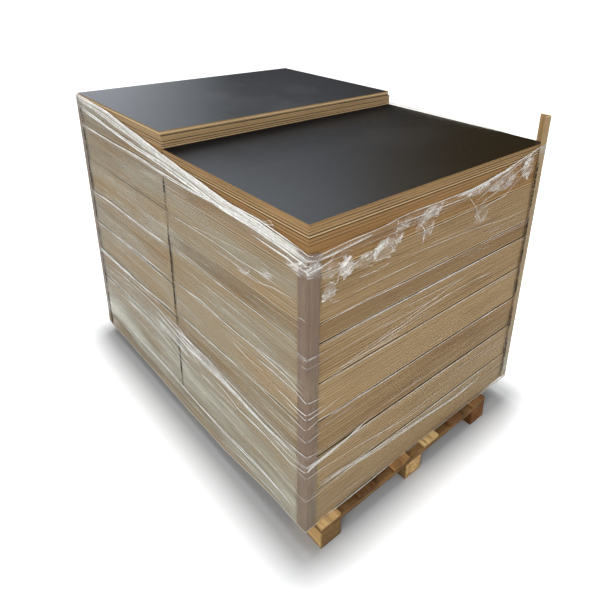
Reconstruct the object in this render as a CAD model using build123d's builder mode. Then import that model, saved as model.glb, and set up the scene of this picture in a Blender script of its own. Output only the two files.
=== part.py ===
from build123d import *
import os
from math import sin

# Hardboard sheets: width lies across the pallet (X), length along it (Y)
sheet_width = 1220
sheet_length = 835
sheet_thickness = 3.2
sheet_air = 0.1
stack_gap = 9

# Bundles from the pallet up: how many sheets each holds, and how far its top leans out over
# its foot, to the left and to the front; one black-faced sheet lies on each stack
near_bundle_counts = (46, 46, 45, 45, 45, 22, 50, 37, 12)
near_bundle_leans = ((1, 4), (1, 3), (1, 5), (3, 1), (3, 5), (1, 5), (2, 1), (1, 1), (1, 1))
far_bundle_counts = (28, 49, 48, 48, 50, 50, 51, 25, 14, 4)
far_bundle_leans = ((1, 1), (2, 1), (6, 1), (6, 1), (6, 1), (2, 1), (6, 1), (1, 1), (1, 1), (1, 1))

# The far stack's last two bundles form a step above the near stack, pushed along the pallet
far_lip_shift = -9
far_crown_shift = 1.5

# No two sheets lie quite in line: how far one strays, and how that turns from sheet to sheet
# (radians)
sheet_wander = 0.4
wander_turn_across = 2.4
wander_turn_along = 1.7
wander_start_along = 1

# Pallet: blocks under cross boards under deck boards, no boards below the blocks
pallet_width = 983
pallet_end_overhang = 29.5
pallet_left_inset = 46
deck_board_width = 93
board_thickness = 17
cross_board_width = 140
block_width = 95
block_height = 74
board_drift = (0, 7, 18, 21, 15, 0)

# Edge boards: cardboard angle at each corner of the load
edge_board_leg = 45
edge_board_thickness = 4
edge_board_radius = 5
edge_board_length = 1250
near_edge_board_length = 1060
right_edge_board_lift = 11
far_edge_board_drop = 45
seat_clearance = 0.3

# Stretch film. Its top edge is gathered into a thicker band all the way round, and is given by
# its height over the near stack's top at each corner, and by points on the two near walls:
# the share of the wall from the near corner, and the height there
film_thickness = 0.8
film_near_height = -79
film_left_height = 63
film_right_height = -6
film_back_height = 40
film_front_points = ((0.16, -92), (0.3, -79), (0.6, -76), (0.78, -49))
film_left_points = ((0.28, -60), (0.58, -8), (0.78, 40))
film_band_width = 42
film_band_thickness = 2.2
film_headroom = 10
film_cut_margin = 1

# Under the left wall the film hangs below the load: shares of the wall, and drops there
film_hem_points = ((0.06, 0), (0.22, 28), (0.3, 44), (0.47, 54))
film_hem_end_share = 0.98
film_hem_end_drop = 49

load_length = 2 * sheet_length + stack_gap
pallet_length = load_length + 2 * pallet_end_overhang
pallet_height = block_height + 2 * board_thickness
deck_underside = block_height + board_thickness
sheet_pitch = sheet_thickness + sheet_air
largest_left_lean = max(lean_left for lean_left, _ in near_bundle_leans + far_bundle_leans)
largest_front_lean = max(lean_front for _, lean_front in near_bundle_leans + far_bundle_leans)
half_load_width = (sheet_width + largest_left_lean) / 2 + sheet_wander
half_load_length = (load_length + largest_front_lean) / 2 + sheet_wander

near_count = sum(near_bundle_counts) + 1
far_count = sum(far_bundle_counts) + 1
near_top = pallet_height + near_count * sheet_pitch - sheet_air
far_top = pallet_height + far_count * sheet_pitch - sheet_air

near_stack_y = -(sheet_length + stack_gap) / 2
far_stack_y = (sheet_length + stack_gap) / 2
pallet_left = -sheet_width / 2 + pallet_left_inset

os.makedirs("parts", exist_ok=True)


def save(builder, name):
    builder.part.label = name
    export_step(builder.part, f"parts/{name}.step")


def sheet_stack(name, first, count, lean, stack_y):
    """A bundle of sheets, from sheet number first of its stack up, that leans out to its top."""
    lean_left, lean_front = lean
    places = []
    for number in range(first, first + count):
        share_up = (number - first + 0.5) / count - 0.5
        stray_x = sheet_wander * sin(wander_turn_across * number)
        stray_y = sheet_wander * sin(wander_turn_along * number + wander_start_along)
        x = stray_x - share_up * lean_left
        y = stack_y + stray_y - share_up * lean_front
        places.append((x, y, pallet_height + number * sheet_pitch))
    with BuildPart() as bundle:
        with Locations(*places):
            Box(
                sheet_width,
                sheet_length,
                sheet_thickness,
                align=(Align.CENTER, Align.CENTER, Align.MIN),
            )
    save(bundle, name)


def lay_stack(prefix, counts, leans, stack_y, pushes):
    """One node for each bundle and one for the top sheet; pushes move bundles along the pallet."""
    first = 0
    for index, (count, lean) in enumerate(zip(counts, leans)):
        bundle_y = stack_y + pushes.get(index, 0)
        sheet_stack(f"{prefix}_bundle_{index + 1}", first, count, lean, bundle_y)
        first += count
    sheet_stack(f"{prefix}_top_sheet", first, 1, (0, 0), bundle_y)


# Pallet
cross_board_ys = [
    -(pallet_length - cross_board_width) / 2,
    0,
    (pallet_length - cross_board_width) / 2,
]
block_xs = [
    pallet_left + block_width / 2,
    pallet_left + pallet_width / 2,
    pallet_left + pallet_width - block_width / 2,
]
deck_pitch = (pallet_width - deck_board_width) / (len(board_drift) - 1)

for row, row_y in enumerate(cross_board_ys, start=1):
    for column, block_x in enumerate(block_xs, start=1):
        with BuildPart() as block:
            with BuildSketch():
                with Locations((block_x, row_y)):
                    Rectangle(block_width, cross_board_width)
            extrude(amount=block_height)
        save(block, f"block_{row}_{column}")

    with BuildPart() as cross_board:
        with BuildSketch(Plane.XY.offset(block_height)):
            with Locations((pallet_left + pallet_width / 2, row_y)):
                Rectangle(pallet_width, cross_board_width)
        extrude(amount=board_thickness)
    save(cross_board, f"cross_board_{row}")

for number, drift in enumerate(board_drift):
    board_x = pallet_left + deck_board_width / 2 + number * deck_pitch + drift
    with BuildPart() as deck_board:
        with BuildSketch(Plane.XY.offset(deck_underside)):
            with Locations((board_x, 0)):
                Rectangle(deck_board_width, pallet_length)
        extrude(amount=board_thickness)
    save(deck_board, f"deck_board_{number + 1}")

# Sheets
lip_index = len(far_bundle_counts) - 2
far_pushes = {lip_index: far_lip_shift, lip_index + 1: far_crown_shift}
lay_stack("near", near_bundle_counts, near_bundle_leans, near_stack_y, {})
lay_stack("far", far_bundle_counts, far_bundle_leans, far_stack_y, far_pushes)


# Edge boards
def edge_board(name, side_x, side_y, bottom, length):
    inner_x = side_x * (half_load_width + seat_clearance)
    inner_y = side_y * (half_load_length + seat_clearance)
    outer_x = inner_x + side_x * edge_board_thickness
    outer_y = inner_y + side_y * edge_board_thickness
    end_x = outer_x - side_x * edge_board_leg
    end_y = outer_y - side_y * edge_board_leg
    with BuildPart() as board:
        with BuildSketch(Plane.XY.offset(bottom)) as angle:
            with BuildLine():
                Polyline(
                    (inner_x, inner_y),
                    (end_x, inner_y),
                    (end_x, outer_y),
                    (outer_x, outer_y),
                    (outer_x, end_y),
                    (inner_x, end_y),
                    close=True,
                )
            make_face()
            outer_corner = angle.vertices().sort_by_distance((outer_x, outer_y, bottom))[0]
            fillet(outer_corner, radius=edge_board_radius)
        extrude(amount=length)
    save(board, name)


near_foot = pallet_height
right_foot = pallet_height + right_edge_board_lift
far_foot = pallet_height - far_edge_board_drop
edge_board("edge_board_near", -1, -1, near_foot, near_edge_board_length)
edge_board("edge_board_right", 1, -1, right_foot, edge_board_length)
edge_board("edge_board_left", -1, 1, far_foot, edge_board_length)
edge_board("edge_board_back", 1, 1, far_foot, edge_board_length)

# Stretch film: a thin tube round the load and the edge boards, cut to its climbing top edge
film_inner_x = half_load_width + edge_board_thickness + 2 * seat_clearance
film_inner_y = half_load_length + edge_board_thickness + 2 * seat_clearance
film_outer_x = film_inner_x + film_thickness
film_outer_y = film_inner_y + film_thickness
film_inner_radius = edge_board_radius + seat_clearance
film_outer_radius = film_inner_radius + film_thickness
film_ceiling = near_top + max(film_left_height, film_back_height) + film_headroom

# What lies above the film's top edge, wall by wall: each wall's outline as a block that
# reaches in past the film's round corners and out past its gathered band
cut_reach = film_band_thickness + film_cut_margin
cut_depth = film_outer_radius + cut_reach
cut_top = film_ceiling + film_band_width + film_cut_margin
front_plane = Plane.XZ.offset(film_outer_y - film_outer_radius)
left_plane = Plane.YZ.offset(-film_outer_x - cut_reach)
right_plane = Plane.YZ.offset(film_outer_x - film_outer_radius)
back_plane = Plane.XZ.offset(-film_outer_y - cut_reach)
walls = [
    (front_plane, film_outer_x, film_near_height, film_front_points, film_right_height),
    (left_plane, film_outer_y, film_near_height, film_left_points, film_left_height),
    (right_plane, film_outer_y, film_right_height, (), film_back_height),
    (back_plane, film_outer_x, film_left_height, (), film_back_height),
]


def on_wall(half_wall, share, z):
    return ((2 * share - 1) * half_wall, z)


with BuildPart() as above_edge:
    for wall_plane, half_wall, start_height, points, end_height in walls:
        edge_start = (-half_wall - cut_reach, near_top + start_height)
        edge_end = (half_wall + cut_reach, near_top + end_height)
        edge_points = [on_wall(half_wall, share, near_top + height) for share, height in points]
        with BuildSketch(wall_plane):
            with BuildLine():
                if edge_points:
                    Spline(edge_start, *edge_points, edge_end)
                else:
                    Line(edge_start, edge_end)
                Polyline(edge_end, (edge_end[0], cut_top), (edge_start[0], cut_top), edge_start)
            make_face()
        extrude(amount=cut_depth)

above_band = Pos(0, 0, -film_band_width) * above_edge.part

with BuildPart() as film_band:
    with BuildSketch(Plane.XY.offset(pallet_height)):
        RectangleRounded(2 * film_outer_x, 2 * film_outer_y, film_outer_radius)
        offset(amount=film_band_thickness)
        RectangleRounded(2 * film_outer_x, 2 * film_outer_y, film_outer_radius, mode=Mode.SUBTRACT)
    extrude(amount=film_ceiling - pallet_height)
    add(above_band, mode=Mode.INTERSECT)
    add(above_edge.part, mode=Mode.SUBTRACT)

hem_rise = [on_wall(film_outer_y, share, pallet_height - drop) for share, drop in film_hem_points]
hem_end = on_wall(film_outer_y, film_hem_end_share, pallet_height - film_hem_end_drop)

with BuildPart() as film:
    with BuildSketch(Plane.XY.offset(pallet_height)):
        RectangleRounded(2 * film_outer_x, 2 * film_outer_y, film_outer_radius)
        RectangleRounded(2 * film_inner_x, 2 * film_inner_y, film_inner_radius, mode=Mode.SUBTRACT)
    extrude(amount=film_ceiling - pallet_height)
    add(above_edge.part, mode=Mode.SUBTRACT)
    add(film_band.part)
    with BuildSketch(Plane.YZ.offset(-film_outer_x)):
        with BuildLine():
            Spline(*hem_rise)
            Polyline(hem_rise[-1], hem_end, (hem_end[0], pallet_height), hem_rise[0])
        make_face()
    extrude(amount=film_thickness)
save(film, "stretch_film")
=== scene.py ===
import functools
import math
import random

import bmesh
import bpy
import numpy as np
from mathutils import Matrix, Vector, noise


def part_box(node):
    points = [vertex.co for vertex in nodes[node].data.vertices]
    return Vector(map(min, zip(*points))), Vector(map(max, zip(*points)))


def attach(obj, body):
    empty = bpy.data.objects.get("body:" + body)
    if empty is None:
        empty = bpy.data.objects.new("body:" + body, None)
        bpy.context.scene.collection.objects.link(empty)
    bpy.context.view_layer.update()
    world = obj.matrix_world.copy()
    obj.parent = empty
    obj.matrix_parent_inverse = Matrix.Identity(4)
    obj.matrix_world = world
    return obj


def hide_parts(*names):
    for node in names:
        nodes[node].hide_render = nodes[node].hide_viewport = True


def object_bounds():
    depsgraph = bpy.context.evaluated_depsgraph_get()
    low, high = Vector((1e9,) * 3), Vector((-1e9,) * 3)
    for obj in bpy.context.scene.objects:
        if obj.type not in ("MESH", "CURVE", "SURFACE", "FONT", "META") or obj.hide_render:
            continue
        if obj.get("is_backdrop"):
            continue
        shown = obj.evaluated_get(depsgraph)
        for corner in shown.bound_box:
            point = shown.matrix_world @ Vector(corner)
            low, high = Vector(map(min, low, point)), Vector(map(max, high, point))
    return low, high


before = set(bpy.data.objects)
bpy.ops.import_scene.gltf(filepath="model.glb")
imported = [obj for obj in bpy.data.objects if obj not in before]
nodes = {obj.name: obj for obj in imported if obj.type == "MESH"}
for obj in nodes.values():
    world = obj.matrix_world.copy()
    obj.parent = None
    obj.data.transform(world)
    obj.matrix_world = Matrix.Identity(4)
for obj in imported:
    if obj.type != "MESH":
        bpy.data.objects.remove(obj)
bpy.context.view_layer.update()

print("frame loaded:", len(nodes), "nodes")


# Small helpers. A node that joins others goes into the tree of the sockets that it is given.

def toLinear(value):
    value = value / 255
    return value / 12.92 if value <= 0.04045 else ((value + 0.055) / 1.055) ** 2.4


def colour(red, green, blue):
    return (toLinear(red), toLinear(green), toLinear(blue), 1.0)


def setInputs(node, inputs):
    for key, value in inputs.items():
        if isinstance(value, bpy.types.NodeSocket):
            node.id_data.links.new(value, node.inputs[key])
        else:
            node.inputs[key].default_value = value
    return node


def addNode(tree, kind, inputs=None, **settings):
    made = tree.nodes.new(kind)
    for key, value in settings.items():
        setattr(made, key, value)
    return setInputs(made, inputs or {})


def treeOf(*values):
    return next(value.id_data for value in values if isinstance(value, bpy.types.NodeSocket))


def mathNode(operation, *values):
    return addNode(treeOf(*values), "ShaderNodeMath", dict(enumerate(values)), operation=operation).outputs[0]


plus, minus, times, highest = (
    functools.partial(mathNode, operation) for operation in ("ADD", "SUBTRACT", "MULTIPLY", "MAXIMUM"))


def rangeNode(value, fromLow, fromHigh, toLow=0.0, toHigh=1.0):
    inputs = {"Value": value, "From Min": fromLow, "From Max": fromHigh, "To Min": toLow, "To Max": toHigh}
    return addNode(value.id_data, "ShaderNodeMapRange", inputs).outputs["Result"]


def mixColour(factor, first, second, blend="MIX"):
    made = addNode(treeOf(factor, first, second), "ShaderNodeMix", {0: factor, 6: first, 7: second},
                   data_type="RGBA", blend_type=blend)
    return made.outputs[2]


def noiseNode(place, scale, detail, **more):
    inputs = {"Vector": place, "Scale": scale, "Detail": detail, **more}
    return addNode(place.id_data, "ShaderNodeTexNoise", inputs).outputs["Fac"]


def chanceNode(number):
    made = addNode(number.id_data, "ShaderNodeTexWhiteNoise", {"W": number}, noise_dimensions="1D")
    return made.outputs["Value"]


def stretched(place, x, y, z, lean=0.0):
    inputs = {"Vector": place, "Rotation": (0.0, 0.0, lean), "Scale": (x, y, z)}
    return addNode(place.id_data, "ShaderNodeMapping", inputs).outputs[0]


def part(vector, axis):
    return addNode(vector.id_data, "ShaderNodeSeparateXYZ", {0: vector}).outputs[axis]


def bump(height, strength, distance):
    inputs = {"Height": height, "Strength": strength, "Distance": distance}
    return addNode(height.id_data, "ShaderNodeBump", inputs).outputs[0]


def startGroup(name, results, **sizes):
    group = bpy.data.node_groups.new(name, "ShaderNodeTree")
    group.interface.new_socket("Vector", in_out="INPUT", socket_type="NodeSocketVector")
    for label, value in sizes.items():
        socket = group.interface.new_socket(label, in_out="INPUT", socket_type="NodeSocketFloat")
        socket.default_value = value
    for label in results:
        group.interface.new_socket(label, in_out="OUTPUT", socket_type="NodeSocketFloat")
    return group, addNode(group, "NodeGroupInput").outputs


def useGroup(group, place, **inputs):
    return addNode(place.id_data, "ShaderNodeGroup", {"Vector": place, **inputs}, node_tree=group).outputs


def emptyTree(owner):
    owner.use_nodes = True
    owner.node_tree.nodes.clear()
    return owner.node_tree


def startMaterial(name):
    material = bpy.data.materials.new(name)
    return material, addNode(emptyTree(material), "ShaderNodeTexCoord").outputs["Object"]


def finishMaterial(material, kind, inputs):
    shader = addNode(material.node_tree, kind, inputs).outputs[0]
    addNode(material.node_tree, "ShaderNodeOutputMaterial", {"Surface": shader})
    return material


def painted(material, base, rough, normal, more=None):
    inputs = {"Base Color": base, "Roughness": rough, "Normal": normal, **(more or {})}
    return finishMaterial(material, "ShaderNodeBsdfPrincipled", inputs)


def facing(material, axis):
    # How far the surface looks along an axis, -1 to 1
    return part(addNode(material.node_tree, "ShaderNodeNewGeometry").outputs["Normal"], axis)


def reading(material, name):
    return addNode(material.node_tree, "ShaderNodeAttribute", attribute_name=name).outputs["Fac"]


def addObject(name, data):
    made = bpy.data.objects.new(name, data)
    bpy.context.scene.collection.objects.link(made)
    return made


def meshPiece(name, points, faces, material):
    mesh = bpy.data.meshes.new(name)
    mesh.from_pydata(points, [], faces)
    mesh.polygons.foreach_set("use_smooth", [True] * len(mesh.polygons))
    mesh.materials.append(material)
    mesh.update()
    return addObject(name, mesh)


def ripple(x, y, z):
    return noise.noise(Vector((x, y, z)))


def storeValues(mesh, **values):
    for name, numbers in values.items():
        mesh.attributes.new(name, "FLOAT", "POINT").data.foreach_set("value", numbers)


# Shared effects

# Fine noise pulled out along one direction: wood grain, paper fibre, rubbed lines
streakGroup, takes = startGroup("streakNoise", ("Streak", "Fibre"), Scale=1.0, Bend=0.3)
addNode(streakGroup, "NodeGroupOutput", {
    "Streak": noiseNode(takes["Vector"], takes["Scale"], 4.0, Roughness=0.6, Distortion=takes["Bend"]),
    "Fibre": noiseNode(takes["Vector"], times(takes["Scale"], 5.0), 3.0, Roughness=0.7),
})

# Soft patches where a surface is rubbed, dusty or stained
patchGroup, takes = startGroup("wornPatches", ("Patch", "Speck"), Scale=3.0, Cover=0.5)
cloud = noiseNode(takes["Vector"], takes["Scale"], 6.0, Roughness=0.55)
speck = noiseNode(takes["Vector"], times(takes["Scale"], 60.0), 2.0)
low = minus(0.78, times(takes["Cover"], 0.5))
addNode(patchGroup, "NodeGroupOutput", {
    "Patch": rangeNode(cloud, low, plus(low, 0.22)),
    "Speck": rangeNode(speck, 0.62, 0.72),
})

# One value for each sheet of a stack, and the dark joint between two sheets. Every few sheets a group stands
# out: an open joint darkened by painted shade, with a painted highlight on the step above it, which comes and
# goes.
layerGroup, takes = startGroup(
    "sheetLayers", ("Sheet", "Joint", "Band", "Gap", "LedgeHighlight"), Foot=0.108, Pitch=0.0033, Loose=0.3)
spot = takes["Vector"]
count = mathNode("DIVIDE", minus(part(spot, "Z"), takes["Foot"]), takes["Pitch"])
within = mathNode("ABSOLUTE", minus(mathNode("FRACT", count), 0.5))
groups = mathNode("DIVIDE", count, 3.0)
nearest = mathNode("ROUND", groups)
apart = minus(groups, nearest)
comeAndGo = noiseNode(stretched(spot, 2.6, 2.6, 75.0), 1.0, 3.0)
opened = plus(times(chanceNode(plus(nearest, 0.37)), 0.6), times(comeAndGo, 0.9))
shown = rangeNode(plus(opened, times(takes["Loose"], 0.5)), 0.92, 1.12)
spread = times(takes["Loose"], 0.12)
line = rangeNode(mathNode("ABSOLUTE", apart), plus(spread, 0.08), plus(spread, 0.18), 1.0, 0.0)
lit = rangeNode(mathNode("ABSOLUTE", minus(apart, 0.24)), 0.05, 0.13, 1.0, 0.0)
addNode(layerGroup, "NodeGroupOutput", {
    "Sheet": chanceNode(mathNode("FLOOR", count)),
    "Joint": rangeNode(within, 0.38, 0.49),
    "Band": noiseNode(stretched(spot, 0.12, 0.12, 85.0), 1.0, 4.0),
    "Gap": times(line, shown),
    "LedgeHighlight": times(lit, shown),
})
print("shader groups built")


# Sheets

boardLook = {
    "pale": colour(176, 148, 108),
    "brown": colour(112, 80, 45),
    # the dark joints between sheets; the same colour also paints shade at a bundle's foot and in open joints
    "joint": colour(60, 42, 24),
    "warm": colour(255, 222, 164),
    # painted highlight on the steps between sheet groups and on the line above a bundle's foot
    "highlightTone": colour(224, 196, 152),
    "faceDark": colour(8, 8, 9),
    "faceWorn": colour(22, 23, 25),
    "faceGloss": 0.09,
    "edgeRough": 0.8,
    # the sheets' upward faces are drawn dark brown-black
    "upwardFaces": colour(30, 26, 22),
    "jointDark": 0.28,
    # footDark, footLine and crownLine: the painted shadow and highlight lines at a bundle's foot, how dark
    # the shadow is and how tall the lines are; crownLine is for the top bundle of the far stack
    "footDark": 0.22,
    "footLine": 0.0022,
    "crownLine": 0.0045,
    "closed": 0.05,       # how loose a bundle is when nothing else is said
    "uneven": {"Sheet": 0.30, "Band": 1.1, "Patch": 0.30, "Fibre": 0.34},  # paler or browner by as much
}

# How brown each bundle is, from the pallet up: 0 pale, 1 brown. Part of the paleness is painted light, in
# place of more light low on the walls: the lowest far bundles most
stackBrowns = {
    "near": (0.26, 0.22, 0.54, 0.20, 0.36, 0.68, 0.42, 0.58, 0.34),
    "far": (0.04, 0.10, 0.36, 0.24, 0.42, 0.20, 0.54, 0.50, 0.34, 0.30),
}
looseBundles = {"near_bundle_9": 0.62, "near_bundle_8": 0.2, "far_bundle_7": 0.4, "far_bundle_8": 0.5,
                "far_bundle_9": 0.5, "far_bundle_10": 0.3}
warmBundles = {"near_bundle_8": 0.5, "near_bundle_9": 0.3, "far_bundle_8": 0.4}


def edgeFibres(place):
    return useGroup(streakGroup, stretched(place, 14.0, 14.0, 300.0), Bend=0.2)


def looksUp(material):
    return mathNode("GREATER_THAN", facing(material, "Z"), 0.5)


def boardMaterial(name, brown, foot, loose, line, warm):
    # foot is the height where the bundle begins; a painted shadow line and a painted highlight line lie just
    # above it
    material, place = startMaterial(name)
    layers = useGroup(layerGroup, place, Loose=loose)
    patches = useGroup(patchGroup, stretched(place, 1.0, 1.0, 6.0), Scale=2.2, Cover=0.55)
    fibres = edgeFibres(place)
    tone = brown
    for effect, label in ((layers, "Sheet"), (layers, "Band"), (patches, "Patch"), (fibres, "Fibre")):
        tone = plus(tone, times(minus(effect[label], 0.5), boardLook["uneven"][label]))
    height = part(place, "Z")
    # lift is a painted highlight line a little above the foot
    lift = times(rangeNode(height, foot + line, foot + 1.4 * line),
                 rangeNode(height, foot + 2.2 * line, foot + 2.8 * line, 1.0, 0.0))
    base = mixColour(rangeNode(tone, 0.0, 1.0), boardLook["pale"], boardLook["brown"])
    base = mixColour(warm, base, boardLook["warm"], "MULTIPLY")
    base = mixColour(highest(times(layers["LedgeHighlight"], 0.5), times(lift, 0.8)), base, boardLook["highlightTone"])
    footShadow = rangeNode(height, foot + 0.6 * line, foot + 1.2 * line, boardLook["footDark"], 0.0)
    dark = highest(times(layers["Joint"], boardLook["jointDark"]), footShadow)
    # open joints darkened by painted shade, more where the bundle is loose
    dark = highest(dark, times(layers["Gap"], min(0.95, 0.34 + 1.2 * loose)))
    base = mixColour(dark, base, boardLook["joint"])
    base = mixColour(looksUp(material), base, boardLook["upwardFaces"])
    rough = rangeNode(fibres["Fibre"], 0.3, 0.7, 0.72, 0.92)
    relief = plus(times(layers["Joint"], -1.0), times(fibres["Fibre"], 0.5))
    return painted(material, base, rough, bump(relief, 0.35, 0.0008), {"Specular IOR Level": 0.25})


def faceMaterial():
    # The top sheets: black above, plain hardboard at the edges
    material, place = startMaterial("blackCoatedFace")
    top = looksUp(material)
    dust = useGroup(patchGroup, place, Scale=2.6, Cover=0.5)
    rubs = useGroup(streakGroup, stretched(place, 3.0, 60.0, 1.0), Bend=0.6)
    edge = mixColour(edgeFibres(place)["Fibre"], boardLook["pale"], boardLook["brown"])
    wear = times(rangeNode(rubs["Streak"], 0.58, 0.75), 0.25)
    wear = plus(plus(wear, times(dust["Patch"], 0.22)), times(dust["Speck"], 0.12))
    black = mixColour(wear, boardLook["faceDark"], boardLook["faceWorn"])
    rough = plus(plus(0.25, times(dust["Patch"], 0.08)), times(rubs["Fibre"], 0.06))
    rough = addNode(material.node_tree, "ShaderNodeMix", {0: top, 2: boardLook["edgeRough"], 3: rough},
                    data_type="FLOAT").outputs[0]
    # the near face loses its gloss towards the step behind it, and the far face keeps it
    along = part(place, "Y")
    gloss = highest(rangeNode(along, -0.40, -0.04, 1.0, 0.05), mathNode("GREATER_THAN", along, 0.0))
    return painted(material, mixColour(top, edge, black), rough, bump(rubs["Fibre"], 0.06, 0.0004),
                   {"Specular IOR Level": times(gloss, boardLook["faceGloss"])})


def setMaterial(node, material):
    nodes[node].data.materials.clear()
    nodes[node].data.materials.append(material)


for stack, browns in stackBrowns.items():
    for number, brown in enumerate(browns, start=1):
        node = f"{stack}_bundle_{number}"
        line = boardLook["crownLine" if node == "far_bundle_10" else "footLine"]
        loose = looseBundles.get(node, boardLook["closed"])
        setMaterial(node, boardMaterial(f"hardboard_{stack}_{number}", brown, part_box(node)[0].z,
                                        loose, line, warmBundles.get(node, 0.0)))
blackFace = faceMaterial()
setMaterial("near_top_sheet", blackFace)
setMaterial("far_top_sheet", blackFace)
print("sheets finished")


# Edge boards

cardLook = {
    "grey": {"paper": colour(120, 97, 80), "shade": colour(94, 74, 58), "pale": colour(142, 120, 98)},
    # the right board's tones: a warmer, brighter copy of the same paper, partly painted warm light on that
    # side
    "warm": {"paper": colour(160, 132, 90), "shade": colour(136, 110, 72), "pale": colour(180, 154, 110)},
    "speck": colour(92, 74, 56),
}


def cardMaterial(name, tones):
    material, place = startMaterial(name)
    paper = useGroup(streakGroup, stretched(place, 90.0, 90.0, 6.0), Bend=0.4)
    mottle = useGroup(patchGroup, stretched(place, 1.0, 1.0, 0.5), Scale=9.0, Cover=0.6)
    base = mixColour(rangeNode(paper["Streak"], 0.3, 0.7), tones["paper"], tones["shade"])
    base = mixColour(times(mottle["Patch"], 0.35), base, tones["pale"])
    base = mixColour(times(mottle["Speck"], 0.3), base, cardLook["speck"])
    rough = rangeNode(paper["Fibre"], 0.3, 0.7, 0.55, 0.8)
    return painted(material, base, rough, bump(paper["Fibre"], 0.25, 0.0006))


cardPlain = cardMaterial("edgeBoardPaper", cardLook["grey"])
for corner in ("near", "left", "back"):
    setMaterial(f"edge_board_{corner}", cardPlain)
# the right board gets the warmer, brighter copy: partly painted warm light
setMaterial("edge_board_right", cardMaterial("edgeBoardPaperWarmLit", cardLook["warm"]))
print("edge boards finished")


# Pallet

woodLook = {
    "pale": colour(212, 186, 140),
    "mid": colour(172, 138, 94),
    "dark": colour(84, 58, 34),
    "soot": colour(36, 26, 18),
    # painted shade for block faces that lie in shadow
    "shadeTone": colour(62, 36, 10),
    "edgeRound": 0.0014,
    "rough": 0.0007,
    "step": 0.012,        # between two cuts of a face
    "mostCuts": 60,
    # tint and age of each deck board and of the cross boards
    "deck": (((250, 240, 224), 0.3), ((176, 152, 130), 0.95), ((222, 202, 180), 0.6),
             ((255, 254, 236), 0.15), ((196, 170, 144), 0.85), ((206, 182, 160), 0.7)),
    "cross": ((200, 184, 164), 0.8),
    # tint, age, left shade and front shade of the blocks of a row
    "blocks": (((255, 246, 226), 0.4, 1.0, 0.16), ((255, 246, 226), 0.3, 0.08, 1.0),
               ((214, 176, 142), 0.75, 0.3, 1.0)),
}


def woodMaterial(name, along, tint, age, leftShade=1.0, frontShade=1.0):
    # leftShade and frontShade darken the faces that look left and front: painted shade where those faces lie
    # in shadow, made blotchy by the dirt patches
    material, place = startMaterial(name)

    def alongBoard(long, across):
        return stretched(place, *[long if axis == along else across for axis in range(3)])

    grain = useGroup(streakGroup, alongBoard(2.2, 46.0), Bend=1.2)
    saw = useGroup(streakGroup, alongBoard(220.0, 8.0), Bend=0.1)
    dirt = useGroup(patchGroup, place, Scale=7.0, Cover=age)
    base = mixColour(rangeNode(grain["Streak"], 0.34, 0.62), woodLook["pale"], woodLook["mid"])
    base = mixColour(rangeNode(grain["Fibre"], 0.5, 0.8), base, woodLook["dark"])
    base = mixColour(times(dirt["Patch"], 0.7), base, woodLook["dark"])
    base = mixColour(times(dirt["Speck"], age), base, woodLook["soot"])
    base = mixColour(1.0, base, colour(*tint), "MULTIPLY")
    for axis, shade in (("X", leftShade), ("Y", frontShade)):
        if shade < 1:
            faceShade = rangeNode(facing(material, axis), -0.3, -0.8, 0.0, 1.0 - shade)
            faceShade = times(faceShade, rangeNode(dirt["Patch"], 0.1, 0.7, 0.85, 1.0))
            base = mixColour(faceShade, base, woodLook["shadeTone"])
    rough = rangeNode(grain["Fibre"], 0.3, 0.7, 0.7, 0.9)
    relief = plus(grain["Fibre"], times(saw["Fibre"], 0.6))
    return painted(material, base, rough, bump(relief, 0.5, 0.0016), {"Specular IOR Level": 0.3})


def sawnPiece(name, material, seed):
    # A rough sawn board or block in its CAD node's box: rounded, slightly wavy edges and worn corners
    low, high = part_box(name)
    size = high - low
    half = size / 2
    middle = (low + high) / 2
    rounding = woodLook["edgeRound"]
    shape = bmesh.new()
    bmesh.ops.create_cube(shape, size=1.0)
    for axis in range(3):
        edges = [e for e in shape.edges if abs((e.verts[0].co - e.verts[1].co)[axis]) > 1e-4]
        cuts = min(max(2, round(size[axis] / woodLook["step"])), woodLook["mostCuts"])
        bmesh.ops.subdivide_edges(shape, edges=edges, cuts=cuts - 1, use_grid_fill=True)
    for v in shape.verts:
        p = Vector([v.co[axis] * size[axis] for axis in range(3)])
        if sum(abs(p[i]) > half[i] - 1e-6 for i in range(3)) > 1:  # on an edge
            wander = noise.noise(p * 9 + Vector((seed, 0, 0))) * 0.5 + 0.5
            inner = Vector([max(-half[i] + rounding, min(half[i] - rounding, p[i])) for i in range(3)])
            p = inner + (p - inner).normalized() * rounding * (0.4 + 0.6 * wander)
        worn = woodLook["rough"] * (0.5 + 0.5 * noise.noise(p * 55 + Vector((0, seed, 0))))
        p -= Vector([math.copysign(worn, p[i]) if abs(p[i]) > half[i] * 0.9 else 0 for i in range(3)])
        v.co = p + middle
    bmesh.ops.recalc_face_normals(shape, faces=shape.faces)
    shape.verts.index_update()
    faces = [[v.index for v in face.verts] for face in shape.faces]
    piece = meshPiece(name + "_sawn", [v.co for v in shape.verts], faces, material)
    shape.free()
    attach(piece, "root")
    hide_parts(name)


for index, look in enumerate(woodLook["deck"]):
    sawnPiece(f"deck_board_{index + 1}", woodMaterial(f"deckWood{index}", 1, *look), 3.7 * index)
crossWood = woodMaterial("crossWood", 0, *woodLook["cross"])
blockWood = [woodMaterial(f"blockWood{index}", 1, *look) for index, look in enumerate(woodLook["blocks"])]
for row in range(3):
    sawnPiece(f"cross_board_{row + 1}", crossWood, 11.3 + row)
    for column, wood in enumerate(blockWood):
        sawnPiece(f"block_{row + 1}_{column + 1}", wood, 21.1 + 3 * row + column)
print("pallet finished")


# Stretch film

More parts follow.
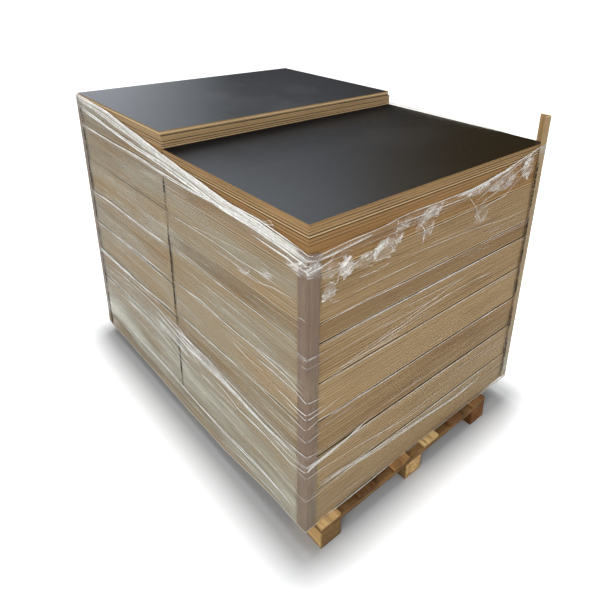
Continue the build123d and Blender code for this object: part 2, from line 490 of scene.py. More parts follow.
# a runs round the load in metres from the near corner: over the front wall for a > 0, over the left
# wall for a < 0. Heights are above the floor.
film = {
    "halfX": 0.6188,
    "halfY": 0.8478,
    "cornerRound": 0.0063,
    "columnStep": 0.011,
    "rows": 116,
    "pullIn": 0.0030,
    "skinWave": 0.0006,
    "bandWave": 0.0022,
    "bandDepth": 0.055,
    "raggedEdge": 0.003,
    # middle a, width, lowest, highest, strength
    "shadows": ((-1.646, 0.009, 0.06, 1.29, 1.0), (1.190, 0.009, 0.14, 1.22, 0.9),
                (-0.848, 0.009, 0.16, 1.15, 1.0), (0.048, 0.007, 0.98, 1.12, 0.5),
                (2.086, 0.008, 0.14, 1.24, 0.8), (-2.888, 0.008, 0.10, 1.25, 0.6)),
    # how much the film veils: the back, left, front and right walls; the near edge board, the left and back
    # ones and the right one; and how much more it veils low on the left and front walls. The heavy veil on
    # the left wall is partly painted reflection of light on the film, and the light veil on the front wall
    # leaves that wall darker, partly painted shade
    "veils": (0.8, 1.08, 0.15, 0.6),
    "boardVeils": (0.2, 0.5, 0.55),
    "lowVeil": (1.5, 2.2),
    "top": ((-2.933, 1.2996), (-1.696, 1.322), (-1.318, 1.300), (-0.987, 1.252), (-0.82, 1.235),
            (-0.554, 1.210), (-0.366, 1.192), (-0.1, 1.180), (0.0, 1.178), (0.05, 1.168), (0.2, 1.167),
            (0.366, 1.182), (0.55, 1.182), (0.74, 1.184), (0.83, 1.189), (0.945, 1.206), (1.072, 1.232),
            (1.18, 1.250), (1.2376, 1.2536), (2.933, 1.2996)),
    "foot": ((-2.933, 0.108), (-1.80, 0.106), (-1.70, 0.080), (-1.66, 0.061), (-0.8, 0.054),
             (-0.5, 0.064), (-0.37, 0.080), (-0.15, 0.106), (0.0, 0.108), (0.09, 0.116), (0.3, 0.109),
             (0.46, 0.114), (0.8, 0.110), (1.2376, 0.108), (2.933, 0.108)),
}
frontLength, sideLength = 2 * film["halfX"], 2 * film["halfY"]
halfRound = frontLength + sideLength


def along(table, a):
    return float(np.interp(a, [row[0] for row in table], [row[1] for row in table]))


def wallPoint(a, z, out=0.0):
    # The point at a round the load; out is how far it stands off the film's outer plane
    a = (a + halfRound) % (2 * halfRound) - halfRound
    hx, hy, r = film["halfX"], film["halfY"], film["cornerRound"]
    if a < -sideLength:
        spot, normal, run, half, reach = -a - sideLength - hx, (0, 1), (1, 0), hx, hy
    elif a < 0:
        spot, normal, run, half, reach = -a - hy, (-1, 0), (0, 1), hy, hx
    elif a < frontLength:
        spot, normal, run, half, reach = a - hx, (0, -1), (1, 0), hx, hy
    else:
        spot, normal, run, half, reach = a - frontLength - hy, (1, 0), (0, 1), hy, hx
    off, aside = reach + out, spot
    over = abs(spot) - (half - r)
    if over > 0:  # on a round corner
        turn = over / r * math.pi / 4
        off = reach - r + (r + out) * math.cos(turn)
        aside = math.copysign(half - r + (r + out) * math.sin(turn), spot)
    return Vector((normal[0] * off + run[0] * aside, normal[1] * off + run[1] * aside, z))


def cornerGap(a):
    # How far a is from the nearest corner
    return min(abs(a - corner) for corner in (-halfRound, -sideLength, 0.0, frontLength, halfRound))


def smooth(value, low, high):
    t = min(1.0, max(0.0, (value - low) / (high - low)))
    return t * t * (3 - 2 * t)


def skinOut(a, z):
    # The skin is pulled in between the edge boards, creased along the wrap, and loose under its top edge
    free = smooth(cornerGap(a), 0.045, 0.30)
    under = along(film["top"], a) - z
    band = 1 - smooth(under, film["bandDepth"] * 0.5, film["bandDepth"] * 1.6)
    level = ripple(a * 2.1, z * 34, 3.1) * film["skinWave"] * (0.4 + free)
    rope = ripple(a * 4.5, z * 95 + a * 3, 8.4) * film["bandWave"] * band
    return -film["pullIn"] * free + level + rope


# Level and leaning creases, which come and go, and soft haze
creaseGroup, takes = startGroup("filmCreases", ("Crease", "Haze", "Relief"), Density=0.5)
lay = takes["Vector"]
levelLines = noiseNode(stretched(lay, 1.3, 150.0, 1.0), 1.0, 2.5, Roughness=0.6, Distortion=0.15)
leaning = noiseNode(stretched(lay, 2.0, 110.0, 1.0, lean=0.16), 1.0, 2.0)
where = noiseNode(stretched(lay, 2.2, 7.0, 1.0), 1.0, 2.0)
lines = highest(rangeNode(levelLines, 0.60, 0.74), times(rangeNode(leaning, 0.62, 0.76), 0.6))
gate = rangeNode(plus(where, minus(takes["Density"], 0.5)), 0.46, 0.62)
addNode(creaseGroup, "NodeGroupOutput", {
    "Crease": times(lines, gate),
    "Haze": noiseNode(stretched(lay, 1.6, 9.0, 1.0), 1.0, 5.0),
    "Relief": plus(levelLines, leaning),
})

filmLook = {
    "haze": colour(176, 173, 153),
    "hem": colour(152, 138, 114),
    "crease": colour(250, 248, 242),
    "shadow": colour(34, 24, 13),
    "foldCool": colour(244, 244, 242),
    "foldWarm": colour(255, 252, 244),
    # how thick the film looks, as alpha: between creases, and what a crease and the gathered band add
    "thinnest": 0.10,
    "thickest": 0.44,
    "creaseMore": 0.42,
    "bandMore": 0.36,
    "shadowThick": 0.97,
    "hemThick": 0.84,
    "hemFade": (0.110, 0.124),        # heights between which the hem's tint goes out
    "farHemLift": (0.50, 0.66, 0.016),  # from Y, to Y, how much higher it then goes
    "foldBreaks": 0.34,
}


def skinMaterial():
    material, place = startMaterial("filmSkin")
    lay = addNode(material.node_tree, "ShaderNodeUVMap", uv_map="filmLay").outputs[0]
    edge, shadow, veil = (reading(material, name) for name in ("gathered", "shadow", "veil"))
    creases = useGroup(creaseGroup, lay, Density=0.5)
    thick = rangeNode(creases["Haze"], 0.32, 0.68, filmLook["thinnest"], filmLook["thickest"])
    thick = times(plus(thick, times(creases["Crease"], filmLook["creaseMore"])), veil)
    thick = plus(thick, times(edge, times(veil, filmLook["bandMore"])))
    dark = times(shadow, rangeNode(creases["Relief"], 0.84, 0.98, 0.3, 1.0))
    thick = highest(thick, times(dark, filmLook["shadowThick"]))
    fromY, toY, lift = filmLook["farHemLift"]
    height = minus(part(place, "Z"), rangeNode(part(place, "Y"), fromY, toY, 0.0, lift))
    hem = rangeNode(height, *filmLook["hemFade"], 1.0, 0.0)
    thick = highest(thick, times(hem, filmLook["hemThick"]))
    pale = mixColour(hem, filmLook["haze"], filmLook["hem"])
    pale = mixColour(plus(creases["Crease"], times(edge, 0.5)), pale, filmLook["crease"])
    base = mixColour(rangeNode(dark, 0.0, 0.3), pale, filmLook["shadow"])
    rough = highest(rangeNode(creases["Haze"], 0.3, 0.7, 0.16, 0.3), highest(dark, hem))
    return painted(material, base, rough, bump(creases["Relief"], 0.5, 0.0018), {
        "Alpha": rangeNode(thick, 0.0, 1.0), "IOR": 1.52, "Specular IOR Level": 0.2})


def foldMaterial():
    material, place = startMaterial("filmFold")
    broken = useGroup(streakGroup, place, Scale=26.0, Bend=0.8)
    shown = rangeNode(broken["Streak"], 0.34, 0.62, 1.0 - filmLook["foldBreaks"], 1.0)
    base = mixColour(broken["Fibre"], filmLook["foldCool"], filmLook["foldWarm"])
    rough = rangeNode(broken["Fibre"], 0.3, 0.7, 0.18, 0.34)
    alpha = times(reading(material, "strength"), shown)
    return painted(material, base, rough, bump(broken["Fibre"], 0.4, 0.001), {"Alpha": alpha})


def shadeAt(a, z, middle, width, low, high, strength):
    # The shadow line where the skin leaves an edge board, or crosses the gap between the stacks
    within = 1 - smooth(abs(a - middle), width * 0.5, width)
    broken = 0.3 + 0.7 * smooth(ripple(middle * 5, z * 12, 2.0), -0.30, 0.05)
    return strength * broken * within * smooth(z, low, low + 0.03) * (1 - smooth(z, high - 0.03, high))


# How hazy the film is drawn at a point: the difference from wall to wall is partly painted reflection and
# shade
def veilAt(a, z):
    wall = 0 if a < -sideLength else 1 if a < 0 else 2 if a < frontLength else 3
    offBoard = smooth(cornerGap(a), 0.040, 0.056)
    overBoard = film["boardVeils"][0 if abs(a) < 0.1 else 2 if abs(a - frontLength) < 0.1 else 1]
    veil = overBoard + (film["veils"][wall] - overBoard) * offBoard
    return veil * (1 + film["lowVeil"][wall - 1] * (1 - smooth(z, 0.10, 0.55))) if wall in (1, 2) else veil


def filmSkin():
    stops = list(np.arange(-halfRound, halfRound, film["columnStep"]))
    for corner in (-sideLength, 0.0, frontLength):
        stops = [s for s in stops if abs(s - corner) > 0.011]
        stops += [corner + t for t in (-0.010, -0.0063, -0.0042, -0.0021, 0.0, 0.0021, 0.0042, 0.0063, 0.010)]
    for middle, width, *_ in film["shadows"]:
        stops = [s for s in stops if abs(s - middle) > width * 1.1]
        stops += [middle + width * t for t in (-1.0, -0.5, 0.0, 0.5, 1.0)]
    stops.sort()
    rows = film["rows"]
    points, faces, lay, gathered, shadow, veil = [], [], [], [], [], []
    for column, a in enumerate(stops):
        foot = along(film["foot"], a) + film["raggedEdge"] * ripple(a * 9, 0.3, 1.2)
        top = along(film["top"], a) + film["raggedEdge"] * ripple(a * 7, 4.3, 1.2)
        for row in range(rows + 1):
            z = foot + (top - foot) * row / rows
            points.append(wallPoint(a, z, skinOut(a, z)))
            lay.append((a, z))
            footFold = 0.7 * (1 - smooth(z - foot, 0.0, 0.006)) * smooth(abs(a + sideLength), 0.02, 0.12)
            gathered.append(max(1 - smooth(top - z, 0.004, film["bandDepth"]), footFold))
            shadow.append(max(shadeAt(a, z, *line) for line in film["shadows"]))
            veil.append(veilAt(a, z))
        here, following = column * (rows + 1), (column + 1) % len(stops) * (rows + 1)
        faces += [(here + row, following + row, following + row + 1, here + row + 1) for row in range(rows)]
    piece = meshPiece("filmSkin", points, faces, skinMaterial())
    mesh = piece.data
    corners = np.zeros(len(mesh.loops), np.int32)
    mesh.loops.foreach_get("vertex_index", corners)
    uv = np.array(lay)[corners]
    seam = np.repeat(np.arange(len(mesh.polygons)) // rows == len(stops) - 1, 4)
    uv[seam & (uv[:, 0] < 0), 0] += 2 * halfRound  # the last column of faces closes the ring
    mesh.uv_layers.new(name="filmLay").data.foreach_set("uv", uv.ravel())
    storeValues(mesh, gathered=gathered, shadow=shadow, veil=veil)
    return piece


skin = filmSkin()
print("film skin:", len(skin.data.polygons), "faces")

# Folds in the film, in millimetres: width, strength 0 to 1, then the points (a, z) it runs through
folds = (
    # Ropes along the top edge, and loose ends below it
    (17, 1.0, (-1700, 1322), (-1318, 1298), (-987, 1250), (-819, 1233), (-554, 1208), (-366, 1190),
     (-223, 1188), (-96, 1178), (-20, 1172), (16, 1160)),
    (14, 1.0, (-1660, 1300), (-1318, 1272), (-987, 1232), (-700, 1212), (-450, 1186), (-250, 1176),
     (-80, 1164), (-10, 1158), (30, 1150)),
    (18, 1.0, (-1690, 1272), (-1341, 1235), (-1058, 1207), (-844, 1200), (-587, 1182), (-420, 1166),
     (-294, 1163), (-180, 1155), (-96, 1150), (-10, 1142), (40, 1136)),
    (3.6, 0.8, (20, 1162), (60, 1165), (154, 1170), (250, 1170), (367, 1177)),
    (9, 0.4, (30, 1150), (80, 1150), (154, 1155), (250, 1160)),
    (2.6, 0.8, (-150, 1196), (-160, 1214), (-178, 1217), (-190, 1209), (-182, 1200), (-166, 1203),
     (-152, 1212)),
    (2.4, 0.6, (-210, 1197), (-198, 1206), (-186, 1198), (-170, 1192)),
    (10, 0.95, (-1680, 1180), (-1315, 1171), (-1082, 1171), (-853, 1164), (-621, 1162), (-474, 1166),
     (-342, 1170), (-200, 1165)),
    (7, 0.9, (-272, 1134), (-181, 1132), (-97, 1129), (-56, 1122), (-2, 1119), (39, 1122), (90, 1130)),
    # Level folds on the far stack
    (6.6, 1.0, (-1702, 845), (-1474, 854), (-1230, 854), (-1016, 855), (-880, 860), (-857, 852)),
    (5, 1.0, (-1699, 682), (-1421, 687), (-1139, 698), (-862, 708), (-852, 700)),
    (7.4, 1.0, (-1707, 512), (-1397, 519), (-1115, 531), (-866, 546), (-852, 538)),
    (6, 0.55, (-1410, 500), (-1200, 505), (-1000, 518)),
    # The belt low on the near stack
    (4.5, 0.95, (-982, 470), (-835, 462), (-658, 468), (-490, 456), (-280, 445), (-111, 441), (-4, 452),
     (60, 440)),
    (17, 1.0, (-1050, 455), (-835, 432), (-676, 426), (-524, 432), (-388, 426), (-323, 414), (-218, 413),
     (-120, 418), (-47, 428)),
    (34, 0.5, (-860, 452), (-760, 452), (-660, 448), (-550, 444), (-440, 436)),
    (6, 0.9, (-600, 396), (-480, 386), (-392, 366), (-280, 371), (-179, 372), (-83, 366), (-3, 384),
     (56, 403), (111, 409), (181, 411), (275, 433), (323, 441)),
    (3.5, 0.9, (-680, 352), (-583, 357), (-494, 355), (-400, 352)),
    # Slanting folds low on the far stack
    (4.5, 0.8, (-1418, 345), (-1240, 360), (-1059, 362), (-940, 340), (-821, 311), (-674, 287)),
    (5, 0.9, (-1646, 405), (-1483, 390), (-1329, 384), (-1131, 388), (-963, 380), (-818, 340), (-677, 327)),
    (6, 0.85, (-1560, 470), (-1372, 479), (-1171, 486), (-1002, 482), (-859, 461), (-664, 425)),
    (4.5, 0.8, (-1522, 338), (-1371, 350), (-1170, 354), (-990, 343), (-830, 312)),
    (6, 0.9, (-952, 492), (-837, 483), (-739, 464), (-661, 452)),
    (5, 0.8, (-898, 439), (-812, 427), (-668, 393)),
    (13, 0.9, (-1680, 522), (-1520, 522), (-1397, 522), (-1250, 526)),
    (30, 0.45, (-1050, 420), (-950, 410), (-860, 400), (-760, 380)),
    # By the foot of the left wall
    (13, 0.8, (-1493, 188), (-1269, 173), (-1000, 171), (-809, 168), (-639, 167), (-506, 167), (-382, 174),
     (-215, 178), (-114, 176), (-42, 166)),
    (4, 0.9, (-560, 100), (-498, 104), (-385, 125), (-294, 123), (-190, 134), (-100, 130)),
    # Level folds on the near stack
    (3.2, 0.8, (-812, 1007), (-674, 1014), (-567, 1015), (-456, 1017), (-329, 1014), (-220, 1021),
     (-165, 1031)),
    (2.6, 0.6, (-666, 1020), (-547, 1033), (-377, 1050), (-291, 1057)),
    (2.8, 0.6, (-814, 874), (-695, 873), (-566, 870), (-471, 864), (-360, 859)),
    (3.5, 0.45, (-331, 979), (-252, 978), (-163, 1000), (-56, 1009)),
    (5.5, 0.6, (-810, 707), (-625, 724), (-517, 718), (-396, 713), (-276, 719), (-150, 727), (-53, 723),
     (-10, 713)),
    (4, 0.6, (-825, 555), (-659, 559), (-544, 562), (-407, 570), (-239, 572), (-153, 581), (-12, 583)),
    # Bright folds by the near corner, and those that fan out from it
    (3.5, 1.0, (-411, 660), (-317, 645), (-223, 648)),
    (3.5, 0.85, (-312, 716), (-203, 711), (-98, 709), (-8, 690)),
    (4, 0.85, (-261, 680), (-166, 686), (-49, 682), (0, 668), (74, 660)),
    (3.8, 0.85, (-164, 626), (-99, 628), (-45, 620), (0, 622), (75, 624)),
    (3.2, 0.8, (-117, 608), (-43, 605), (0, 602), (81, 607), (153, 615)),
    (3.4, 0.9, (-118, 566), (-9, 560), (46, 577), (124, 569), (225, 567), (320, 561)),
    (3, 0.7, (-105, 514), (-9, 512), (60, 522)),
    (3.4, 0.7, (-178, 398), (-97, 394), (-8, 406), (50, 414)),
    (3.2, 0.8, (-179, 368), (-74, 362), (3, 356), (69, 358), (185, 346), (340, 326), (498, 303),
     (633, 294)),
    (2.6, 0.7, (-48, 955), (-22, 963), (-4, 958)),
    (2.6, 0.6, (-46, 830), (-14, 825), (11, 830), (49, 832)),
    # Low on the front wall
    (18, 0.7, (0, 396), (56, 402), (111, 406), (181, 411), (260, 428)),
    (16, 0.5, (52, 292), (161, 278), (346, 254), (589, 236), (824, 214), (996, 222)),
    (3.2, 0.6, (588, 240), (822, 222), (966, 257)),
    (5.6, 1.0, (88, 119), (176, 112), (283, 112), (381, 116), (453, 116)),
    # Level folds on the front wall
    (2.6, 0.7, (49, 713), (89, 718), (148, 719)),
    (4, 0.65, (117, 737), (193, 733), (262, 733), (336, 727), (412, 728)),
    (3.2, 0.9, (251, 742), (333, 752), (409, 757), (516, 770), (684, 780), (829, 780), (992, 766)),
    (2.2, 0.8, (117, 728), (251, 752), (333, 762), (409, 768), (516, 786), (684, 812), (800, 826)),
    (2.2, 0.7, (100, 722), (200, 726), (333, 738), (450, 748), (600, 752)),
    (2.6, 0.6, (403, 833), (566, 825), (743, 820)),
    (3, 0.7, (931, 557), (1124, 564)),
    (2.4, 1.0, (43, 937), (162, 936), (364, 934), (494, 933), (750, 932), (898, 932), (1153, 933)),
    (2.2, 0.95, (45, 865), (153, 864), (399, 863), (603, 863), (762, 862), (914, 861), (1024, 859)),
    (3, 0.45, (382, 1032), (579, 1022), (805, 1012), (1002, 992), (1143, 991)),
    (3.4, 0.9, (198, 1031), (274, 1029), (340, 1034)),
    # Under the front wall's top edge, towards the right corner
    (3.6, 0.8, (300, 1174), (366, 1180), (456, 1183), (553, 1181), (657, 1180), (739, 1183), (826, 1188),
     (945, 1205), (1072, 1231), (1179, 1250), (1236, 1252)),
    (10, 0.7, (660, 1172), (739, 1176), (826, 1182), (945, 1198), (1020, 1212)),
    (3.6, 0.7, (368, 1160), (459, 1156), (547, 1159), (717, 1158)),
    (3.4, 0.8, (780, 1125), (893, 1163), (1042, 1213), (1172, 1246)),
    (3.4, 0.75, (819, 1086), (974, 1100), (1066, 1150), (1130, 1190)),
    (3, 0.7, (760, 1160), (864, 1178), (989, 1210), (1144, 1245)),
    (2.6, 0.7, (800, 1105), (930, 1135), (1060, 1185), (1170, 1235)),
    (4, 0.6, (715, 1170), (779, 1110), (810, 1060), (832, 1027)),
    (4.5, 0.55, (472, 1130), (501, 1096), (492, 1045)),
    (3.5, 0.6, (501, 1096), (530, 1104), (548, 1118)),
)

# Film that bridges the steps between bundles: from a, to a, heights. Its pale folds are partly painted
# highlight, where the film catches light over the steps
stepFolds = (
    (0.055, 1.175, (0.2615, 0.4135, 0.562, 0.7105, 0.859)),
    (-1.680, -0.865, (0.206, 0.368, 0.526, 0.684, 0.849)),
    (-0.830, -0.055, (0.265, 0.417, 0.565, 0.714, 0.862)),
)

# Heights of the ropes on the two far walls, much as on the near ones
farHeights = (0.17, 0.27, 0.41, 0.43, 0.56, 0.71, 0.86, 0.93, 1.03, 1.15)

# Crumpled film under the top edge of the two near walls, in millimetres: middle (a, z), size; strength
crumples = [(a / 1000, z / 1000, wide / 1000, tall / 1000, strength) for a, z, wide, tall, strength in (
    (80, 1032, 60, 70, 1),
    (78, 1104, 90, 66, 0.85),
    (145, 1088, 75, 80, 1),
    (230, 1082, 120, 60, 0.95),
    (310, 1092, 120, 80, 1),
    (366, 1122, 60, 60, 0.8),
    (500, 1120, 110, 110, 0.5),
    (530, 1158, 120, 50, 0.62),
    (400, 1150, 140, 40, 0.45),
    (800, 1165, 180, 40, 0.8),
    (1110, 1180, 90, 100, 0.95),
    (950, 1160, 240, 80, 0.6),
    (830, 1060, 100, 70, 0.45),
    (-200, 1030, 90, 40, 0.6),
    (-320, 985, 100, 30, 0.7),
    (-50, 1125, 110, 60, 0.85),
    (20, 1120, 70, 50, 0.75),
)]

foldLook = {
    "seed": 11,
    "spacing": 0.016,     # of the points along a fold
    "strokeSpacing": 0.005,
    "lift": 0.0012,       # of a fold off the skin
    "flatness": 0.16,     # thickness over width
    "sides": 6,
    "waver": 0.0016,
    "ropeFrom": 0.0075,   # a fold as wide as this is a rope
    "strandWidth": 0.0035,
    "fineCreases": 240,
    "strokes": 60,        # for each metre of a patch's size
    "farRopes": 16,
    "farStrands": 5,      # of the band along the top edge
    "stepWidth": 0.0050,
    "stepStrength": 0.55,
    "crumpleSteps": 72,
    "crumpleLift": 0.0008,
}


def foldLines():
    points, edges, widths, strengths = [], [], [], []
    spread = random.Random(foldLook["seed"])

    def addLine(path, width, strength, spacing=foldLook["spacing"]):
        marks = np.cumsum([0] + [math.dist(p, q) for p, q in zip(path, path[1:])])
        steps = max(4, round(marks[-1] / spacing))
        start = len(points)
        phase = spread.uniform(0, 50)
        for step in range(steps + 1):
            t = step / steps
            a, z = (float(np.interp(t * marks[-1], marks, values)) for values in zip(*path))
            z += foldLook["waver"] * ripple(a * 6, phase, 0.5)
            taper = min(1.0, 7 * t + 0.15, 7 * (1 - t) + 0.15)
            uneven = 0.75 + 0.5 * ripple(a * 11, phase, 4.5)
            fade = 0.8 + 0.4 * ripple(a * 8, phase, 9.5)
            points.append(wallPoint(a, z, skinOut(a, z) + foldLook["lift"]))
            widths.append(0.5 * width * taper * uneven)
            strengths.append(strength * min(1.0, 0.6 + 0.5 * taper) * fade)
        edges.extend((index, index + 1) for index in range(start, start + steps))

    for millimetres, strength, *spots in folds:
        width = millimetres / 1000
        path = [(a / 1000, z / 1000) for a, z in spots]
        if width < foldLook["ropeFrom"]:
            addLine(path, width, strength)
            continue
        # a rope is made of narrower folds that cross
        strands = max(3, round(width / foldLook["strandWidth"]))
        for strand in range(strands):
            shift = (strand + 0.5) / strands - 0.5
            phase = spread.uniform(0, 9)
            line = [(a, z + width * (shift + 0.35 * math.sin(6.9 * a + phase)) * 0.8) for a, z in path]
            addLine(line, width / strands * spread.uniform(1.2, 2.4), strength * spread.uniform(0.72, 1.0))

    # Finer level creases on every wall
    for _ in range(foldLook["fineCreases"]):
        a = spread.uniform(-halfRound, halfRound)
        z = spread.uniform(along(film["foot"], a) + 0.02, along(film["top"], a) - 0.03)
        length = spread.uniform(0.06, 0.5)
        slope = spread.gauss(0, 0.02)
        path = [(a + length * t, z + slope * length * t) for t in (0, 0.33, 0.66, 1)]
        addLine(path, spread.uniform(0.0012, 0.0026), spread.uniform(0.25, 0.6))

    # Short jagged creases where the film is crumpled
    for a, z, wide, tall, strength in crumples:
        heading = math.atan2(tall, wide)
        for _ in range(max(3, round(foldLook["strokes"] * (wide * tall) ** 0.5 * strength))):
            turn = 0.5 * heading + spread.gauss(0, 0.45)
            spot = (a + spread.gauss(0, 0.24) * wide, z + spread.gauss(0, 0.24) * tall)
            path = [spot]
            for _ in range(spread.randint(2, 4)):
                turn += spread.choice((-0.9, -0.1, 0.0, 0.1, 0.9)) * spread.uniform(0.5, 1.2)
                step = spread.uniform(0.006, 0.020)
                spot = (spot[0] + step * math.cos(turn), spot[1] + step * math.sin(turn))
                path.append(spot)
            path = [(pa, min(pz, along(film["top"], pa) - 0.004)) for pa, pz in path]
            width = spread.uniform(0.0010, 0.0036)
            addLine(path, width, min(1.0, strength * spread.uniform(0.6, 1.4)), foldLook["strokeSpacing"])

    # The far walls carry ropes like those that show on the near ones, and a band along their top edge
    for wallStart, wallLength in ((frontLength, sideLength), (-halfRound, frontLength)):
        for _ in range(foldLook["farRopes"]):
            a = wallStart + spread.uniform(0.0, 0.5) * wallLength
            length = min(spread.uniform(0.25, 0.55) * wallLength, wallStart + wallLength - a)
            z = spread.choice(farHeights) + spread.uniform(-0.02, 0.02)
            slope = spread.gauss(0, 0.025)
            path = [(a + length * t, z + slope * length * t) for t in (0, 0.25, 0.5, 0.75, 1)]
            addLine(path, spread.uniform(0.003, 0.008), spread.uniform(0.6, 1.0))
    for strand in range(foldLook["farStrands"]):
        line = [(a, along(film["top"], a) - 0.006 - 0.008 * strand + 0.006 * math.sin(5 * a + strand))
                for a in np.linspace(frontLength - 0.05, 2 * halfRound - sideLength + 0.05, 60)]
        addLine(line, 0.007, 0.8)
    for start, end, heights in stepFolds:
        for z in heights:
            path = [(a, z) for a in np.linspace(start, end, 6)]
            addLine(path, foldLook["stepWidth"], foldLook["stepStrength"])
    mesh = bpy.data.meshes.new("foldLines")
    mesh.from_pydata(points, edges, [])
    storeValues(mesh, halfWidth=widths, strength=strengths)
    return addObject("foldLines", mesh)


def foldTree():
    tree = bpy.data.node_groups.new("filmFolds", "GeometryNodeTree")
    kinds = {"Geometry": "Geometry", "Flatness": "Float", "Sides": "Int", "Material": "Material"}
    for label, kind in kinds.items():
        tree.interface.new_socket(label, in_out="INPUT", socket_type="NodeSocket" + kind)
    tree.interface.new_socket("Geometry", in_out="OUTPUT", socket_type="NodeSocketGeometry")
    takes = addNode(tree, "NodeGroupInput").outputs

    def step(kind, inputs, **settings):
        return addNode(tree, "GeometryNode" + kind, inputs, **settings).outputs[0]

    curve = step("MeshToCurve", {"Mesh": takes["Geometry"]})
    curve = step("SetCurveNormal", {"Curve": curve}, mode="Z_UP")
    width = step("InputNamedAttribute", {"Name": "halfWidth"}, data_type="FLOAT")
    ring = step("CurvePrimitiveCircle", {"Resolution": takes["Sides"], "Radius": 1.0})
    flat = addNode(tree, "ShaderNodeCombineXYZ", {"X": takes["Flatness"], "Y": 1.0, "Z": 1.0}).outputs[0]
    lens = step("Transform", {"Geometry": ring, "Scale": flat})
    tube = step("CurveToMesh", {
        "Curve": curve, "Profile Curve": lens, "Scale": width, "Fill Caps": True})
    tube = step("SetShadeSmooth", {"Geometry": tube})
    tube = step("RealizeInstances", {"Geometry": tube})
    tube = step("SetMaterial", {"Geometry": tube, "Material": takes["Material"]})
    addNode(tree, "NodeGroupOutput", {"Geometry": tube})
    return tree


def grown(carrier, tree, name, **inputs):
    # Runs a Geometry Nodes tree on the carrier and keeps what it makes as a plain mesh
    modifier = carrier.modifiers.new(tree.name, "NODES")
    modifier.node_group = tree
    sockets = {item.name: item.identifier for item in tree.interface.items_tree if item.in_out == "INPUT"}
    for label, value in inputs.items():
        modifier[sockets[label]] = value
    evaluated = carrier.evaluated_get(bpy.context.evaluated_depsgraph_get())
    mesh = bpy.data.meshes.new_from_object(evaluated)
    carrier.modifiers.remove(modifier)
    bpy.data.objects.remove(carrier)
    return addObject(name, mesh)


foldWhite = foldMaterial()
foldPiece = grown(foldLines(), foldTree(), "filmFolds", Flatness=foldLook["flatness"],
                  Sides=foldLook["sides"], Material=foldWhite)
print("film folds:", len(foldPiece.data.polygons), "faces")


def facet(spot):
    # How white the nearest facet is, and how close its edge: 0 far, 1 on it
    (first, second, *_), (middle, *_) = noise.voronoi(spot)
    chance = noise.cell(middle * 7.3) * 0.5 + 0.5
    return smooth(chance, 0.45, 1.0), 1 - smooth(second - first, 0.02, 0.20)


def crumpledFilm():
    points, faces, strengths = [], [], []
    steps = foldLook["crumpleSteps"]
    for index, (a, z, wide, tall, strength) in enumerate(crumples):
        start = len(points)
        for row in range(steps + 1):
            for column in range(steps + 1):
                s, t = 2 * column / steps - 1, 2 * row / steps - 1
                pa, pz = a + s * wide / 2, z + t * tall / 2
                warp = ripple(pa * 38, pz * 38, index)
                ragged = 1.1 + 0.9 * ripple(s * 2.4, t * 2.4, index)
                rim = max(0.0, 1 - math.hypot(s, t) ** 2 * ragged)
                lie = Vector((pa * 62 + 1.4 * warp, pz * 95 - pa * 30, index * 3.0))
                white, edge = facet(lie)
                whiteSmall, edgeSmall = facet(lie * 2.1 + Vector((5, 2, 1)))
                out = foldLook["crumpleLift"] + (0.0024 * white + 0.0020 * edge + 0.0010 * whiteSmall) * rim
                points.append(wallPoint(pa, pz, skinOut(pa, pz) + out))
                patch = smooth(noise.noise(lie * 0.3), -0.25, 0.30)
                bright = 0.34 * white + 0.20 * whiteSmall
                bright = bright + 0.55 * edge * white + 0.30 * edgeSmall * whiteSmall
                shown = min(1.0, rim * 2.6) * min(0.9, 0.12 + patch * (0.24 + bright))
                inside = smooth(along(film["top"], pa) - pz, 0.002, 0.008)
                strengths.append(inside * strength * shown)
                if row < steps and column < steps:
                    corner = start + row * (steps + 1) + column
                    faces.append((corner, corner + 1, corner + steps + 2, corner + steps + 1))
    piece = meshPiece("filmCrumples", points, faces, foldWhite)
    storeValues(piece.data, strength=strengths)
    return piece


crumplePiece = crumpledFilm()

for piece in (skin, foldPiece, crumplePiece):
    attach(piece, "root")
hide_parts("stretch_film")


# Floor, light and camera

stage = {
    "worldLevel": 0.46,
    "floorDark": colour(172, 173, 174),
    "floorPale": colour(182, 183, 184),
    "floorHalf": 40,
    # floorNear and floorFar: the floor gets no glow right beside the load, which paints a shade round it
    "floorNear": 0.02,    # metres from the load between which the floor's own glow comes up
    "floorFar": 0.232,
    # place, target, width and height, power
    "topLight": ((0.5, 0.7, 4.6), (0, 0, 0.3), (3.6, 3.6), 400),
    "sideLight": ((-4.2, -3.2, 2.6), (0, 0, 0.6), (3.0, 2.5), 170),
    "rightLight": ((3.2, -4.2, 1.6), (0.4, -0.8, 0.7), (1.6, 1.6), 26),
}
plainWhite = (1, 1, 1, 1)


def plainRays(tree):
    # 1 for what the camera sees, also in gloss and through glass
    rays = addNode(tree, "ShaderNodeLightPath").outputs
    return highest(rays["Is Camera Ray"], highest(rays["Is Glossy Ray"], rays["Is Transmission Ray"]))


def floorMaterial():
    material, place = startMaterial("paleFloor")
    tree = material.node_tree
    tone = mixColour(noiseNode(place, 300.0, 2.0), stage["floorDark"], stage["floorPale"])
    diffuse = addNode(tree, "ShaderNodeBsdfDiffuse", {"Color": tone}).outputs[0]

    def vectorNode(operation, first, second=(0.0, 0.0, 0.0)):
        return addNode(tree, "ShaderNodeVectorMath", {0: first, 1: second}, operation=operation).outputs

    # The glow is kept off near the load, which paints a shade round it on top of its real shadow
    beyond = vectorNode("SUBTRACT", vectorNode("ABSOLUTE", place)[0], (film["halfX"], film["halfY"], 0.0))[0]
    distance = vectorNode("LENGTH", vectorNode("MAXIMUM", beyond)[0])["Value"]
    strength = times(plainRays(tree), rangeNode(distance, stage["floorNear"], stage["floorFar"]))
    glow = addNode(tree, "ShaderNodeEmission", {"Color": plainWhite, "Strength": strength}).outputs[0]
    return finishMaterial(material, "ShaderNodeAddShader", {0: diffuse, 1: glow})


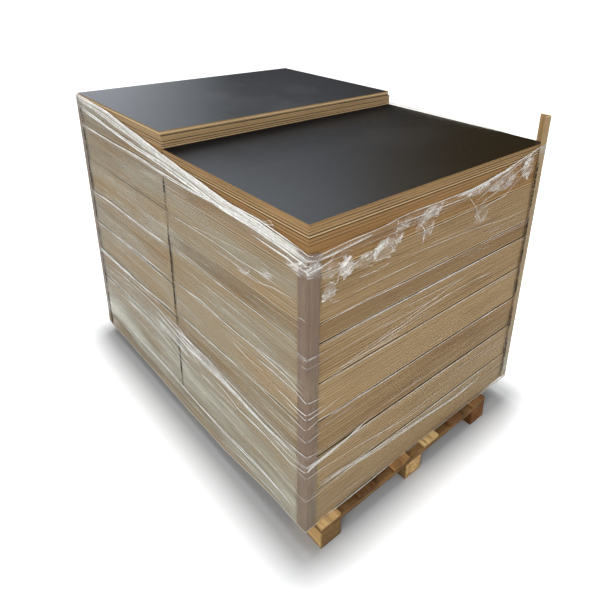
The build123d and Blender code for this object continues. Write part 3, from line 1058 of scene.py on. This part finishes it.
half = stage["floorHalf"]
floorCorners = [(-half, -half, 0), (half, -half, 0), (half, half, 0), (-half, half, 0)]
meshPiece("floor", floorCorners, [(0, 1, 2, 3)], floorMaterial())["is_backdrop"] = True

world = bpy.data.worlds.new("studio")
bpy.context.scene.world = world
tree = emptyTree(world)
level = highest(plainRays(tree), stage["worldLevel"])
sky = addNode(tree, "ShaderNodeBackground", {"Color": plainWhite, "Strength": level}).outputs[0]
addNode(tree, "ShaderNodeOutputWorld", {"Surface": sky})

for name in ("topLight", "sideLight", "rightLight"):
    place, target, size, power = stage[name]
    lamp = bpy.data.lights.new(name, "AREA")
    lamp.shape = "RECTANGLE"
    lamp.size, lamp.size_y = size
    lamp.energy = power
    softLight = addObject(name, lamp)
    softLight.location = place
    softLight.rotation_mode = "QUATERNION"
    softLight.rotation_quaternion = (Vector(target) - Vector(place)).to_track_quat("-Z", "Y")
    softLight.visible_glossy = False

# A curved screen behind the load, which only gloss sees: the black faces shade from a bright left
# to a brown dark right
screen = {
    "radius": 6.0,
    "start": -8,
    "end": 112,
    "foot": -0.5,
    "top": 9.0,
    "columns": 48,
    "bright": 2.0,
    "middle": 0.42,
    "dark": 0.22,
    "highBright": 6.8,
    "cool": (0.86, 0.92, 1.0, 1),
    "brown": (1.0, 0.60, 0.08, 1),
}


def screenMaterial():
    material, place = startMaterial("glossScreen")
    height = part(place, "Z")
    turn = mathNode("ARCTAN2", part(place, "Y"), part(place, "X"))

    def across(fromDegrees, toDegrees, low=0.0, high=1.0):
        return rangeNode(turn, math.radians(fromDegrees), math.radians(toDegrees), low, high)

    left = across(60, 77, 0.0, screen["bright"] - screen["middle"])
    centre = times(across(26, 50, screen["dark"], screen["middle"]), rangeNode(height, 2.3, 3.4, 0.20, 1.0))
    high = times(rangeNode(height, 3.8, 5.4, 0.0, screen["highBright"]), across(28, 56, 0.12, 1.0))
    tint = mixColour(across(44, 24), screen["cool"], screen["brown"])
    glow = {"Color": tint, "Strength": plus(plus(left, centre), high)}
    return finishMaterial(material, "ShaderNodeEmission", glow)


def glossScreen():
    points = []
    for column in range(screen["columns"] + 1):
        turn = math.radians(screen["start"] + (screen["end"] - screen["start"]) * column / screen["columns"])
        x, y = screen["radius"] * math.cos(turn), screen["radius"] * math.sin(turn)
        points += [(x, y, screen["foot"]), (x, y, screen["top"])]
    faces = [(n, n + 2, n + 3, n + 1) for n in range(0, 2 * screen["columns"], 2)]
    made = meshPiece("glossScreen", points, faces, screenMaterial())
    for ray in ("camera", "diffuse", "shadow", "transmission"):
        setattr(made, "visible_" + ray, False)
    return made


glossScreen()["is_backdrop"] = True

camera = {
    "place": (-1.4603, -1.8457, 1.8810),
    "azimuth": 48.06,
    "down": 22.59,
    "roll": 1.28,
    "lens": 33.33,
    "shift": (-0.04155, -0.16785),
}
turn, down, roll = (math.radians(camera[key]) for key in ("azimuth", "down", "roll"))
looks = (Matrix.Rotation(turn - math.pi / 2, 4, "Z") @ Matrix.Rotation(math.pi / 2 - down, 4, "X")
         @ Matrix.Rotation(roll, 4, "Z"))
lens = bpy.data.cameras.new("photoCamera")
lens.sensor_width = 36
lens.lens = camera["lens"]
lens.shift_x, lens.shift_y = camera["shift"]
lens.clip_start, lens.clip_end = 0.05, 200
viewer = addObject("photoCamera", lens)
viewer.matrix_world = Matrix.Translation(camera["place"]) @ looks
bpy.context.scene.camera = viewer
bpy.context.scene.view_settings.view_transform = "Standard"
print("stage finished")

low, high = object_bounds()
